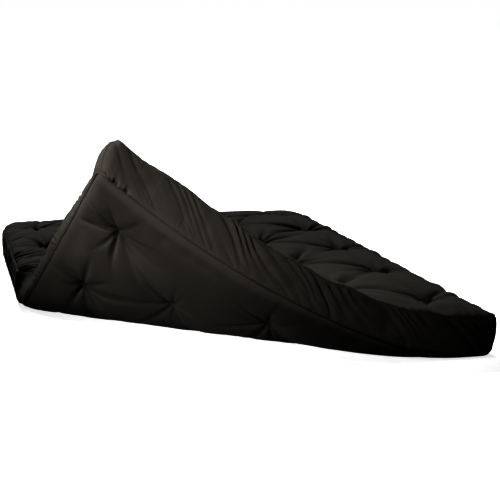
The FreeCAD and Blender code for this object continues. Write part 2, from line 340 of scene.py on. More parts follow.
def place(flat, sizes):
    """Roll flat points (..., 3) up with the corner.

    Across the fold line the underside keeps its length: it follows an arc until it has turned
    by the fold's angle, then runs straight. Radius and angle change evenly along the line.
    Height w is laid off square to the underside, so the top side is squeezed.
    """
    u, v, w = np.moveaxis(np.asarray(flat, float), -1, 0)
    reach, along, outward = fold_axes(sizes)
    du = u - sizes.width
    across = np.maximum(du * outward[0] + v * outward[1], 0)
    share = np.clip((du * along[0] + v * along[1]) / reach, 0, 1)
    radius = mix(sizes.fold_radius_right, sizes.fold_radius_left, share)
    full = mix(sizes.fold_angle_right, sizes.fold_angle_left, share)
    turn = np.minimum(across / radius, full)
    beyond = np.maximum(across - radius * full, 0)
    inward = across - radius * np.sin(turn) - beyond * np.cos(turn) + w * np.sin(turn)
    height = radius * (1 - np.cos(turn)) + beyond * np.sin(turn) + w * np.cos(turn)
    return np.stack([u - inward * outward[0] - sizes.width / 2,
                     v - inward * outward[1] - sizes.length / 2, height], axis=-1)


def lifted(u, v, sizes):
    """Return how far points are past the start of the fold, towards the corner."""
    _, _, outward = fold_axes(sizes)
    return (u - sizes.width) * outward[0] + v * outward[1]


def tufts(sizes):
    """Return the tufts' (u, v); every second column sits half a pitch along."""
    step_u = (sizes.width - 2 * sizes.column_margin) / (sizes.columns - 1)
    step_v = (sizes.length - 2 * sizes.row_margin) / (sizes.rows - 1)
    return np.array([(sizes.column_margin + step_u * column,
                      sizes.row_margin + step_v * (row + column % 2 / 2))
                     for column in range(sizes.columns)
                     for row in range(sizes.rows - column % 2)])


def dimple(u, v, sizes):
    """Return how much of a dimple's depth is felt at points: 1 at a tuft, and falling off as
    e to the minus distance over spread, part of it over the tuft's own narrow pinch, with the
    tip of that cone rounded."""
    felt = np.zeros(np.broadcast(u, v).shape)
    for a, b in tufts(sizes):
        away = np.sqrt((u - a) ** 2 + (v - b) ** 2 + DIMPLE_TIP ** 2) - DIMPLE_TIP
        felt += mix(np.exp(-away / sizes.dimple_spread), np.exp(-away / PINCH_REACH), PINCH_SHARE)
    return np.minimum(felt, 1)


def waves(s, seed, lengths, count=4):
    """Return an irregular wave along s, about -1 to 1: sines of seeded length and phase."""
    draw = np.random.default_rng(seed)
    total = np.zeros(np.shape(s))
    for length, phase in zip(draw.uniform(*lengths, count), draw.uniform(0, 2 * np.pi, count)):
        total = total + np.sin(2 * np.pi * s / length + phase)
    return total / math.sqrt(2 * count)


def star_creases(u, v, sizes, seed, narrow):
    """Return how deep the creases round the tufts are at points, 0 to about 1.

    Each crease leaves its tuft along a ray that bends a little. It sets in within
    CREASE_START, fades as a bell over its own reach, and falls off to either side as
    1 / (1 + (distance from the ray / half width) ** 2), with a half width that grows along
    the ray, less a wider and lower one that leaves a ridge on each side. Long ones point at
    the neighbouring tufts, and short ones fill in between.
    """
    draw = np.random.default_rng(seed)
    depth = np.zeros(u.shape)
    spots = tufts(sizes)
    for a, b in spots:
        gaps = spots - (a, b)
        near = gaps[(np.hypot(*gaps.T) > 0) & (np.hypot(*gaps.T) < LINKED_TUFTS)]
        links = np.arctan2(near[:, 1], near[:, 0])
        fans = np.arange(SHORT_CREASES) * 2 * np.pi / SHORT_CREASES
        angles = np.concatenate([links, fans])
        angles = angles + draw.uniform(-CREASE_TURN, CREASE_TURN, len(angles))
        reaches = np.concatenate([draw.uniform(*LONG_REACH, len(near)),
                                  draw.uniform(*SHORT_REACH, len(fans))])
        strengths = np.concatenate([draw.uniform(*LONG_STRENGTH, len(near)),
                                    draw.uniform(*SHORT_STRENGTH, len(fans))])
        bends = draw.uniform(-CREASE_BEND, CREASE_BEND, len(angles))
        rows = np.flatnonzero(np.abs(u[:, 0] - a) < CREASE_WINDOW)
        columns = np.flatnonzero(np.abs(v[0] - b) < CREASE_WINDOW)
        patch = np.ix_(rows, columns)
        du, dv = u[patch] - a, v[patch] - b
        for angle, reach, strength, bend in zip(angles, reaches, strengths, bends):
            out = np.maximum(du * math.cos(angle) + dv * math.sin(angle), 0)
            off = dv * math.cos(angle) - du * math.sin(angle) - bend * out ** 2
            half = narrow + CREASE_SPREAD * out
            profile = strength * (1 / (1 + (off / half) ** 2)
                                  - RIDGE / (1 + (off / (RIDGE_WIDTH * half)) ** 2))
            depth[patch] += profile * (1 - np.exp(-(out / CREASE_START) ** 2)) \
                * np.exp(-(out / reach) ** 2)
    return np.tanh(depth)


def seam_gathers(along, inwards, seed, pitch):
    """Return how deep the gathers beside a seam are, 0 to 1: sharp valleys between round
    folds, as 1 - |sine|, with uneven spacing and length, fading away from the seam."""
    def varied(number, lengths):
        return waves(along, seed + number, [length * pitch for length in lengths])

    phase = along / pitch + SPACING_UNEVEN * varied(0, SPACING_WAVES)
    length = GATHER_LONG + LONG_UNEVEN * varied(1, LONG_WAVES)
    depth = np.clip(DEPTH_MEAN + DEPTH_UNEVEN * varied(2, DEPTH_WAVES), *DEPTH_RANGE)
    valleys = depth * (1 - np.abs(np.sin(np.pi * phase))) ** VALLEY_POWER
    return valleys * np.exp(-(inwards / (pitch * np.maximum(length, LEAST_LONG))) ** 2)


def round_corners(u, v, sizes):
    """Pull points near the four corners in, mapping each corner square onto a quarter disc."""
    radius = np.where(v > sizes.length / 2, sizes.back_radius, sizes.corner_radius)
    half = np.array([sizes.width, sizes.length]) / 2
    du, dv = u - half[0], v - half[1]
    a = np.maximum(np.abs(du) - (half[0] - radius), 0) / radius
    b = np.maximum(np.abs(dv) - (half[1] - radius), 0) / radius
    shrink_a = a * (1 - np.sqrt(1 - b ** 2 / 2)) * radius
    shrink_b = b * (1 - np.sqrt(1 - a ** 2 / 2)) * radius
    return u - np.sign(du) * shrink_a, v - np.sign(dv) * shrink_b


# ---------------------------------------------------------------- the simulated cover


def panel_grid(sizes):
    """Return the (u, v) of the simulated panels' points."""
    return np.meshgrid(np.linspace(0, sizes.width, CELLS_ACROSS + 1),
                       np.linspace(0, sizes.length, CELLS_ALONG + 1), indexing="ij")


def rim_distance(u, v, sizes):
    """Return how far points are from the nearest edge of their panel."""
    return np.minimum.reduce([u, sizes.width - u, v, sizes.length - v])


def quads(number):
    """Return the quads of a grid of vertex numbers."""
    corners = [number[:-1, :-1], number[1:, :-1], number[1:, 1:], number[:-1, 1:]]
    return np.stack(corners, -1).reshape(-1, 4)


def ring_indices(across, along):
    """Return the (i, j) of a grid's rim, anticlockwise from the front left corner."""
    i, j = np.arange(across), np.arange(along)
    return (np.concatenate([i, np.full(along, across), across - i, np.zeros(along, int)]),
            np.concatenate([np.zeros(across, int), j, np.full(across, along), along - j]))


class Cover:
    """The closed cover: grids of vertex numbers for both panels and the border."""

    def __init__(self, sizes):
        self.sizes = sizes
        count = (CELLS_ACROSS + 1) * (CELLS_ALONG + 1)
        self.top = np.arange(count).reshape(CELLS_ACROSS + 1, CELLS_ALONG + 1)
        self.bottom = self.top + count
        ring = ring_indices(CELLS_ACROSS, CELLS_ALONG)
        inner = 2 * count + np.arange((CELLS_UP - 1) * len(ring[0])).reshape(CELLS_UP - 1, -1)
        side = np.vstack([self.bottom[ring], inner, self.top[ring]])
        self.side = np.hstack([side, side[:, :1]])
        self.points = self.lay_flat()

    def lay_flat(self):
        """Lay the cover out flat, panels first and then the border, and roll it up."""
        flat = np.zeros((self.side.max() + 1, 3))
        self.lay_panels(flat)
        self.lay_border(flat)
        return place(flat, self.sizes)

    def lay_panels(self, flat):
        """Lay both panels out. Each has a dimple at every tuft and rises from its seam as
        1 - e to the minus distance. The top's front edge stands up beside the corner as a
        bell, its seam rides up and down a little, its back edge has sagged, and two of its
        corners are drawn out. The underside is flat on the floor and full where it is free."""
        sizes = self.sizes
        u, v = panel_grid(sizes)
        x, y = round_corners(u, v, sizes)
        felt = dimple(u, v, sizes)
        rim = rim_distance(u, v, sizes)
        round_over = 1 - np.exp(-rim / TOP_REACH)
        top = sizes.thickness - TOP_DROP + (TOP_DROP + CROWN) * round_over
        top += CREST * np.exp(-((u - CREST_AT) / CREST_WIDTH) ** 2 - v / CREST_REACH)
        uneven = waves(u, RIM_SEED, RIM_WAVES) + waves(v, RIM_SEED + 1, RIM_WAVES)
        top += RIM_UNEVEN * uneven * np.exp(-rim / RIM_REACH)
        sagging = np.exp((v - sizes.length) / SAG_REACH) * (1 - np.exp(-(u / SAG_START) ** 2))
        top -= BACK_SAG * sagging
        flat[self.top] = np.stack([x, y, top - (sizes.top_dimple + CROWN) * felt], -1)
        for edge, out, toward in CORNERS_OUT:
            drawn = out * np.exp(-np.hypot(edge * sizes.width - u, v) / POINT_REACH)
            flat[self.top] += drawn[..., None] * toward
        shoulder = 1 - np.exp(-rim / SHOULDER_REACH)
        free = CROWN * np.clip(lifted(u, v, sizes) / LIFT_BLEND, 0, 1) ** 2
        under = SEAM_DROP * (1 - shoulder) - free * shoulder + (sizes.bottom_dimple + free) * felt
        flat[self.bottom] = np.stack([x, y, under], -1)

    def lay_border(self, flat):
        """Lay the border out between the two seams. It bellies out square to them as a
        flattened half sine wave, and as a plain one by the turned-up corner's tip and where
        the left border is squeezed inside the bend."""
        share = np.linspace(0, 1, CELLS_UP + 1)[:, None]
        foot, head = flat[self.side[0]], flat[self.side[-1]]
        walls = foot + (head - foot) * share[..., None]
        step = np.diff(np.vstack([foot[-2], foot, foot[1]]), axis=0)
        step = step[:-1] + step[1:]
        normal = np.stack([step[:, 1], -step[:, 0]], -1)
        normal /= np.linalg.norm(normal, axis=1, keepdims=True)
        rolled = lifted(foot[:, 0], foot[:, 1], self.sizes)
        pushed = SQUEEZED_OUT * np.exp(-((rolled - SQUEEZED_AT) / SQUEEZED_WIDTH) ** 2
                                       - foot[:, 0] / NOSE_REACH)
        nose = NOSE_OUT * np.exp(-(np.hypot(foot[:, 0], foot[:, 1]) / NOSE_REACH) ** 2)
        wave = np.sin(np.pi * share)
        belly = BORDER_BELLY * wave ** BELLY_POWER + wave * (nose + pushed)
        walls[..., :2] += normal * belly[..., None]
        flat[self.side[1:-1, :-1]] = walls[1:-1, :-1]

    def faces(self):
        """Return the quads of both panels and the border, all facing outwards."""
        return np.vstack([quads(self.top), quads(self.bottom)[:, ::-1], quads(self.side.T)])

    def held_points(self):
        """Return the vertices that stay put: both seams, the tufts and what is on the floor."""
        sizes = self.sizes
        held = np.zeros(len(self.points), bool)
        held[self.side[0]] = held[self.side[-1]] = True
        u, v = panel_grid(sizes)
        near = np.zeros(u.shape, bool)
        for a, b in tufts(sizes):
            near |= (np.abs(u - a) < TUFT_HELD) & (np.abs(v - b) < TUFT_HELD)
        held[self.top[near]] = True
        held[self.bottom[near | (lifted(u, v, sizes) < 0)]] = True
        return held

    def evened(self, shift):
        """Even a shift out, so that only wide folds stay: again and again, each point that is
        free takes the mean of its own shift and that of the points joined to it."""
        faces, held = self.faces(), self.held_points()
        edges = np.vstack([faces[:, [k, (k + 1) % 4]] for k in range(4)])
        joined = np.bincount(edges[:, 0], minlength=len(shift))[:, None]
        for _ in range(EVEN_PASSES):
            beside = np.stack([np.bincount(edges[:, 0], shift[edges[:, 1], k], len(shift))
                               for k in range(3)], -1) / joined
            shift = np.where(held[:, None], 0, (shift + beside) / 2)
        return shift

    def simulate(self, cloth):
        """Blow the cover up from inside with spare cloth in it, held at its seams and tufts."""
        thing = mesh_object("cover_in_work", self.points, self.faces())
        pins = thing.vertex_groups.new(name="held")
        pins.add(np.flatnonzero(self.held_points()).tolist(), 1.0, "REPLACE")
        full = thing.vertex_groups.new(name="full")
        full.add(np.unique(self.side[1:-1]).tolist(), 1.0, "REPLACE")
        modifier = thing.modifiers.new("Cloth", "CLOTH")
        settings = modifier.settings
        for name, value in CLOTH_SETTINGS.items():
            setattr(settings, name, value)
        settings.vertex_group_mass = pins.name
        settings.vertex_group_shrink = full.name
        settings.shrink_min = -cloth.panel_fullness
        settings.shrink_max = -cloth.border_fullness
        settings.uniform_pressure_force = cloth.pressure
        settings.effector_weights.gravity = 0
        modifier.collision_settings.use_collision = False
        modifier.point_cache.frame_end = SIMULATED_FRAMES
        for step in range(1, SIMULATED_FRAMES + 1):
            bpy.context.scene.frame_set(step)
        shaped = thing.evaluated_get(bpy.context.evaluated_depsgraph_get()).to_mesh()
        moved = np.empty(len(shaped.vertices) * 3, np.float32)
        shaped.vertices.foreach_get("co", moved)
        mesh = thing.data
        bpy.data.objects.remove(thing)
        bpy.data.meshes.remove(mesh)
        shift = self.evened(moved.reshape(-1, 3) - self.points)
        far = np.linalg.norm(shift, axis=1, keepdims=True)
        self.points = self.points + shift * MOST_MOVE / np.hypot(MOST_MOVE, far)
        self.points[:, 2] = np.maximum(self.points[:, 2], 0)


# The shaped grids, for the pieces that lie on them: both panels by name, the borders by side.
COVER = {}


def refine(grid, times=1):
    """Put a new point between each two, along both axes: the middle of the cubic through the
    two points on either side. Past an end, the last step is repeated."""
    for _ in range(times):
        for axis in (0, 1):
            grid = np.moveaxis(grid, axis, 0)
            before = np.vstack([2 * grid[:1] - grid[1:2], grid[:-2]])
            after = np.vstack([grid[2:], 2 * grid[-1:] - grid[-2:-1]])
            between = (9 * (grid[:-1] + grid[1:]) - before - after) / 16
            wide = np.empty((2 * len(grid) - 1, *grid.shape[1:]))
            wide[::2], wide[1::2] = grid, between
            grid = np.moveaxis(wide, 0, axis)
    return grid


def rimmed(grid):
    """Add grid lines close to all four rims, as straight shares of the first and last cells."""
    for axis in (0, 1):
        grid = np.moveaxis(grid, axis, 0)
        near = [mix(grid[0], grid[1], share) for share in RIM_LINES]
        far = [mix(grid[-1], grid[-2], share) for share in reversed(RIM_LINES)]
        grid = np.moveaxis(np.stack([grid[0], *near, *grid[1:-1], *far, grid[-1]]), 0, axis)
    return grid


# ---------------------------------------------------------------- meshes


def mesh_object(name, points, faces, uv=None):
    """Return a smooth mesh object at the origin, linked to the scene."""
    mesh = bpy.data.meshes.new(name)
    mesh.from_pydata(np.reshape(points, (-1, 3)).tolist(), [], np.reshape(faces, (-1, 4)).tolist())
    mesh.polygons.foreach_set("use_smooth", np.ones(len(mesh.polygons), bool))
    if uv is not None:
        layer = mesh.uv_layers.new(name="cloth")
        corners = np.empty(len(mesh.loops), np.int32)
        mesh.loops.foreach_get("vertex_index", corners)
        layer.data.foreach_set("uv", np.reshape(uv, (-1, 2))[corners].astype(np.float32).ravel())
    mesh.update()
    thing = bpy.data.objects.new(name, mesh)
    bpy.context.scene.collection.objects.link(thing)
    return thing


def grid_faces(rows, columns, wrap_rows=False, wrap_columns=False):
    """Return the quads of a grid of points, joined round where a direction wraps."""
    number = np.arange(rows * columns).reshape(rows, columns)
    if wrap_rows:
        number = np.vstack([number, number[:1]])
    if wrap_columns:
        number = np.hstack([number, number[:, :1]])
    return quads(number)


def unit(vectors):
    """Return vectors at length one."""
    return vectors / np.maximum(np.linalg.norm(vectors, axis=-1, keepdims=True), TINY)


def normals_of(grid):
    """Return unit normals of a grid of points: its two directions' steps, crossed."""
    return unit(np.cross(np.gradient(grid, axis=0), np.gradient(grid, axis=1)))


def cloth_piece(name, grid, uv, flip=False):
    """Return a piece of cloth on a grid, facing the other way round if flipped."""
    faces = grid_faces(*grid.shape[:2])
    return mesh_object(name, grid, faces[:, ::-1] if flip else faces, uv)


def tubes(name, paths, hint, radii, closed=False):
    """Return one mesh of many tubes of TUBE_SIDES sides along paths (tubes, points, 3).

    At each point the ring lies square to the path, and starts from the hint with its part
    along the path taken off. An open tube's ends are closed by flat faces.
    """
    if closed:
        steps = np.roll(paths, -1, axis=1) - np.roll(paths, 1, axis=1)
    else:
        steps = np.gradient(paths, axis=1)
    along = unit(steps)
    hint = np.broadcast_to(hint, paths.shape)
    first = unit(hint - (hint * along).sum(-1, keepdims=True) * along)
    second = np.cross(along, first)
    around = np.arange(TUBE_SIDES) * 2 * np.pi / TUBE_SIDES
    ring = (first[:, :, None] * np.cos(around)[:, None]
            + second[:, :, None] * np.sin(around)[:, None])
    points = paths[:, :, None] + ring * np.broadcast_to(radii, paths.shape[1])[:, None, None]
    count, long = paths.shape[:2]
    quads = grid_faces(long, TUBE_SIDES, wrap_rows=closed, wrap_columns=True)
    if not closed:
        cap = np.array([[0, 1, 2, 3], [3, 4, 5, 0]])
        quads = np.vstack([quads, cap[:, ::-1], cap + (long - 1) * TUBE_SIDES])
    offsets = np.arange(count)[:, None, None] * long * TUBE_SIDES
    return mesh_object(name, points, quads[None] + offsets)


def closed_slab(name, low, high):
    """Return the closed solid between two grids, joined by a wall round their rims."""
    across, along = low.shape[0] - 1, low.shape[1] - 1
    number = np.arange(low.shape[0] * low.shape[1]).reshape(low.shape[:2])
    ring = number[ring_indices(across, along)]
    after = np.roll(ring, -1)
    top = number.size
    faces = grid_faces(*low.shape[:2])
    wall = np.stack([ring, after, after + top, ring + top], -1)
    return mesh_object(name, np.stack([low, high]),
                       np.vstack([faces[:, ::-1], faces + top, wall]))


def resample(path, steps):
    """Return points at even steps along a path (points, 3), and where they are on it."""
    run = np.concatenate([[0], np.cumsum(np.linalg.norm(np.diff(path[:, :3], axis=0), axis=1))])
    at = np.linspace(0, run[-1], steps)
    return np.stack([np.interp(at, run, column) for column in path.T], -1), at


# ---------------------------------------------------------------- materials


def node(tree, kind, **inputs):
    """Add a shader node and set its named inputs or properties."""
    made = tree.nodes.new(kind)
    for key, value in inputs.items():
        if key in made.inputs:
            made.inputs[key].default_value = value
        else:
            setattr(made, key, value)
    return made


def shader(name, roughness, sheen=0.0, sheen_tint=(1, 1, 1, 1)):
    """Start a material and return it with its tree and main shader."""
    material = bpy.data.materials.new(name)
    material.use_nodes = True
    tree = material.node_tree
    main = tree.nodes["Principled BSDF"]
    main.inputs["Roughness"].default_value = roughness
    main.inputs["Specular IOR Level"].default_value = 0.05
    main.inputs["Sheen Weight"].default_value = sheen
    main.inputs["Sheen Roughness"].default_value = 0.55
    main.inputs["Sheen Tint"].default_value = sheen_tint
    return material, tree, main


def color_by(tree, main, share, low, high):
    """Colour a material from low to high by a socket."""
    tone = node(tree, "ShaderNodeMix", data_type="RGBA")
    tone.inputs[SOCKET_A].default_value = (*low, 1)
    tone.inputs[SOCKET_B].default_value = (*high, 1)
    tree.links.new(share, tone.inputs[0])
    tree.links.new(tone.outputs[2], main.inputs["Base Color"])


def raise_by(tree, main, height, strength, distance):
    """Raise a material's surface by a socket, as bump."""
    bump = node(tree, "ShaderNodeBump", Strength=strength, Distance=distance)
    tree.links.new(height, bump.inputs["Height"])
    tree.links.new(bump.outputs["Normal"], main.inputs["Normal"])


def scaled(tree, socket, factor, added=None):
    """Return a socket times a factor, plus another socket if there is one."""
    times = node(tree, "ShaderNodeMath", operation="MULTIPLY" if added is None
                 else "MULTIPLY_ADD")
    times.inputs[1].default_value = factor
    tree.links.new(socket, times.inputs[0])
    if added is not None:
        tree.links.new(added, times.inputs[2])
    return times.outputs[0]


def cotton_twill(name, cloth):
    """Near-black cotton twill: fine diagonal ribs, slubs in the yarn, and nap rubbed paler in
    soft patches. The ribs follow the cloth's own flat coordinates."""
    material, tree, main = shader(name, roughness=0.88, sheen=0.02,
                                  sheen_tint=(0.62, 0.58, 0.52, 1))
    flat = node(tree, "ShaderNodeUVMap", uv_map="cloth")
    patches = node(tree, "ShaderNodeTexNoise", Scale=7.0, Detail=6.0, Roughness=0.62)
    slubs = node(tree, "ShaderNodeTexNoise", Scale=420.0, Detail=3.0, Roughness=0.7)
    ribs = node(tree, "ShaderNodeTexWave", Scale=230.0, Distortion=1.2)
    ribs.inputs["Detail"].default_value = 1.0
    ribs.bands_direction = "DIAGONAL"
    for texture in (patches, slubs, ribs):
        tree.links.new(flat.outputs["UV"], texture.inputs["Vector"])
    rubbed = scaled(tree, patches.outputs["Fac"], factor=0.7)
    paler = scaled(tree, slubs.outputs["Fac"], factor=0.45, added=rubbed)
    color_by(tree, main, paler, cloth.charcoal, cloth.worn)
    weave = scaled(tree, ribs.outputs["Fac"], factor=0.6, added=slubs.outputs["Fac"])
    raise_by(tree, main, weave, strength=0.35, distance=0.0006)
    return material


def waxed_thread(name, cloth):
    """Dark waxed cotton thread: tight twisted plies across its own length."""
    material, tree, main = shader(name, roughness=0.62, sheen=0.1)
    place_at = node(tree, "ShaderNodeTexCoord")
    plies = node(tree, "ShaderNodeTexWave", Scale=160.0, Distortion=0.8)
    plies.bands_direction = "DIAGONAL"
    fuzz = node(tree, "ShaderNodeTexNoise", Scale=900.0, Detail=2.0)
    for texture in (plies, fuzz):
        tree.links.new(place_at.outputs["Object"], texture.inputs["Vector"])
    color_by(tree, main, fuzz.outputs["Fac"], cloth.thread, cloth.worn)
    raise_by(tree, main, plies.outputs["Fac"], strength=0.5, distance=0.0004)
    return material


def batting(name, color, scale):
    """Loose fibre: tangled strands as distorted noise, darker seeds among them, and hollows
    HOLLOW_SIZE times as large."""
    material, tree, main = shader(name, roughness=0.95, sheen=0.5)
    place_at = node(tree, "ShaderNodeTexCoord")
    strands = node(tree, "ShaderNodeTexNoise", Scale=scale, Detail=8.0, Roughness=0.72,
                   Distortion=1.6)
    hollows = node(tree, "ShaderNodeTexVoronoi", Scale=scale / HOLLOW_SIZE)
    for texture in (strands, hollows):
        tree.links.new(place_at.outputs["Object"], texture.inputs["Vector"])
    color_by(tree, main, strands.outputs["Fac"], [part * SEED_DARK for part in color], color)
    height = scaled(tree, strands.outputs["Fac"], factor=1.0, added=hollows.outputs["Distance"])
    raise_by(tree, main, height, strength=0.6, distance=0.004)
    return material


def material_of(name, maker, *details):
    """Return the material of that name, made once."""
    return bpy.data.materials.get(name) or maker(name, *details)


def finish_piece(piece, material, slot, *nodes, fill=None):
    """Give a piece its material and body, and hide the CAD nodes that it stands for; its slot is
    not used.
    """
    piece.data.materials.append(material)
    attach(piece, BODY)
    if nodes:
        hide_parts(*nodes)


# ---------------------------------------------------------------- operators


def edge_fade(*distances):
    """Return 0 at an edge and 1 away from it, for the distances from several edges."""
    fade = 1.0
    for distance in distances:
        fade = fade * (1 - np.exp(-(distance / CORNER_FADE) ** 2))
    return fade


def seam_rise(away):
    """Return how far cloth stands proud at a distance from its seam: none at the seam, all of
    it soon after, and little once the filling carries it."""
    return SEAM_RISE * (1 - np.exp(-away / SEAM_SOFT)) * np.exp(-(away / SEAM_FAR) ** 2)


def gape(s, t):
    """Return how far the edge of the fill opening sags in: pits of uneven length along the
    seam, each as h e^(1 - h) with h the height above the seam over GAPE_HEIGHT."""
    opened = 1 / (1 + np.exp((s - GAPE_END * OPENING) / GAPE_FADE))
    pits = np.clip(waves(s, GAPE_SEED, GAPE_WAVES) + GAPE_BIAS, 0, 1)
    height = t / GAPE_HEIGHT
    return GAPE_DEPTH * opened * pits * height * np.exp(1 - height)


def panel_depth(u, v, sizes, seed, deepest, half, pucker):
    """Return how far a panel is drawn in: the stars at its tufts and puckers at its seams,
    less its rise beside them."""
    sides = ((u, v), (u, sizes.length - v), (v, u), (v, sizes.width - u))
    puckers = sum(seam_gathers(along, inwards, seed + 10 * k, PUCKER_PITCH)
                  for k, (along, inwards) in enumerate(sides, start=1))
    depth = deepest * star_creases(u, v, sizes, seed, half) + pucker * puckers
    fade = edge_fade(u, sizes.width - u, v, sizes.length - v)
    return depth * fade - seam_rise(rim_distance(u, v, sizes))


def inner_creases(u, v, sizes):
    """Return how deep the creases inside the bend are: gathers that run along the fold line
    from the left seam, in a bell-shaped band across it."""
    rolled = lifted(u, v, sizes)
    band = np.exp(-((rolled - INNER_AT) / INNER_WIDTH) ** 2)
    return INNER_DEPTH * band * seam_gathers(rolled + INNER_LEAN * u, u / INNER_LONG,
                                             INNER_SEED, INNER_PITCH)


def border_depth(s, t, run, rolled, sizes, seed):
    """Return how far a border is drawn in: long leaning folds from its top seam, deepest in a
    bell about GATHER_CENTRE, lower ones from its bottom seam, fine ones from both, and the
    grooves of the topstitching, less its rise beside both seams."""
    drop = sizes.thickness - t
    bell = np.exp(-((rolled - GATHER_CENTRE) / GATHER_WIDTH) ** 2)
    base = mix(GATHER_BASE, GATHER_FAR, np.clip(-rolled / GATHER_WIDTH, 0, 1))
    strength = base + (1 - base) * bell
    lean = GATHER_LEAN * (1 + LEAN_UNEVEN * waves(s, seed + 9, LEAN_WAVES))
    leaning = s - lean * (drop - GATHER_CURL * drop ** 2)
    depth = GATHER_DEPTH * strength * seam_gathers(leaning, drop, seed, GATHER_PITCH)
    depth += FOOT_SHARE * GATHER_DEPTH * strength * seam_gathers(
        s + GATHER_LEAN * t, t, seed + 3, FOOT_PITCH * GATHER_PITCH)
    depth += FINE_DEPTH * (seam_gathers(s, drop, seed + 5, FINE_PITCH)
                           + seam_gathers(s, t, seed + 7, FINE_PITCH))
    depth *= edge_fade(s, run - s, t, drop)
    for away in (t, drop):
        depth += SEAM_GROOVE * np.exp(-((away - SEAM_STITCH) / SEAM_GROOVE_HALF) ** 2)
        depth -= seam_rise(away) * edge_fade(s, run - s)
    return depth


def border_rows():
    """Return the heights of a border's rows, as shares of it, closer beside the seams: an even
    share x less ROW_BUNCHING sin(2 pi x) / (2 pi)."""
    share = np.linspace(0, 1, BORDER_ROWS + 1)
    return share - ROW_BUNCHING * np.sin(2 * np.pi * share) / (2 * np.pi)


class FUTON_OT_cover(bpy.types.Operator):
    """Simulate the cover, and cut it into its two panels and four borders."""

    bl_idname = "futon.make_cover"
    bl_label = "Make Cover"

    def execute(self, context):
        sizes, cloth = context.scene.futon_sizes, context.scene.futon_cloth
        cover = Cover(sizes)
        cover.simulate(cloth)
        twill = material_of("charcoal_cotton_twill", cotton_twill, cloth)
        self.make_panels(cover, sizes, twill)
        self.make_borders(cover, sizes, twill)
        return {"FINISHED"}

    def make_panels(self, cover, sizes, twill):
        """Make both panels, and keep their smooth grids for the filling."""
        flat = rimmed(refine(np.stack(panel_grid(sizes), -1), PANEL_REFINE))
        for name, number, side in (("top_panel", cover.top, -1),
                                   ("bottom_panel", cover.bottom, 1)):
            grid = refine(cover.points[number], PANEL_REFINE)
            COVER[name] = grid
            grid = rimmed(grid)
            u, v = flat[..., 0], flat[..., 1]
            depth = panel_depth(u, v, sizes, *PANEL_CREASES[name])
            if side > 0:
                rise = np.clip(lifted(u, v, sizes) / FLAT_BLEND, 0, 1)
                depth *= mix(FLAT_SHARE, 1, rise ** 2)
            else:
                depth += inner_creases(u, v, sizes)
            drawn = side * np.minimum(depth, DEEPEST)
            grid = grid + normals_of(grid) * drawn[..., None]
            grid[..., 2] = np.maximum(grid[..., 2], 0)
            piece = cloth_piece(f"{name}_cloth", grid, flat, side > 0)
            finish_piece(piece, twill, "casing", name)

    def make_borders(self, cover, sizes, twill):
        """Make the four borders, each a stretch of the ring between the two panels."""
        ends = np.cumsum([0, CELLS_ACROSS, CELLS_ALONG, CELLS_ACROSS, CELLS_ALONG])
        share = border_rows()
        ring_u, ring_v = ring_indices(CELLS_ACROSS, CELLS_ALONG)
        ring_rolled = lifted(ring_u / CELLS_ACROSS * sizes.width,
                             ring_v / CELLS_ALONG * sizes.length, sizes)
        ring_rolled = np.append(ring_rolled, ring_rolled[0])
        for side, seed, start, end in zip(SIDES, SIDE_SEEDS, ends, ends[1:]):
            strip = cover.points[cover.side[:, start:end + 1]]
            fine = refine(np.moveaxis(strip, 0, 1), BORDER_REFINE)
            at = share * (fine.shape[1] - 1)
            below = np.minimum(at.astype(int), fine.shape[1] - 2)
            part = (at - below)[:, None]
            grid = fine[:, below] * (1 - part) + fine[:, below + 1] * part
            run = sizes.width if side in ("front", "back") else sizes.length
            s, t = np.meshgrid(np.linspace(0, run, len(grid)), share * sizes.thickness,
                               indexing="ij")
            rolled = np.interp(np.linspace(0, 1, len(grid)), np.linspace(0, 1, end - start + 1),
                               ring_rolled[start:end + 1])[:, None]
            depth = border_depth(s, t, run, rolled, sizes, seed)
            if side == "front":
                depth += gape(s, t) * edge_fade(s)
            grid = grid - normals_of(grid) * depth[..., None]
            grid[..., 2] = np.maximum(grid[..., 2], 0)
            COVER[side] = grid
            piece = cloth_piece(f"{side}_border_cloth", grid, np.stack([s, t], -1))
            finish_piece(piece, twill, "casing", f"{side}_border")


def ring_path(height, sizes):
    """Return the path round all four borders at a height above the bottom seam, with the
    borders' outward normals beside it: columns x, y, z and the normal's three."""
    rows = []
    for side in SIDES:
        grid = COVER[side]
        row = int(np.argmin(np.abs(border_rows() * sizes.thickness - height)))
        rows.append(np.hstack([grid[:-1, row], normals_of(grid)[:-1, row]]))
    path = np.vstack(rows)
    return np.vstack([path, path[:1]])


def thread_beads(name, path, start=0.0):
    """Return one row of stitches along a path from a distance on: each a short tube whose
    middle lies on the cloth and whose ends dip into it, as a parabola."""
    steps = int(round(np.linalg.norm(np.diff(path[:, :3], axis=0), axis=1).sum() / BEAD_STEP))
    fine, at = resample(path, steps + 1)
    first = np.arange(start, at[-1] - STITCH_LENGTH, STITCH_PITCH)
    reach = np.linspace(-1, 1, STITCH_POINTS)
    along = first[:, None] + (reach + 1) * STITCH_LENGTH / 2
    centre = np.stack([np.interp(along, at, fine[:, k]) for k in range(3)], -1)
    out = unit(np.stack([np.interp(along, at, fine[:, k]) for k in range(3, 6)], -1))
    lift = STITCH_RADIUS * STITCH_DIP * (1 - 2 * reach ** 2)
    return tubes(name, centre + out * lift[:, None], out, STITCH_RADIUS)


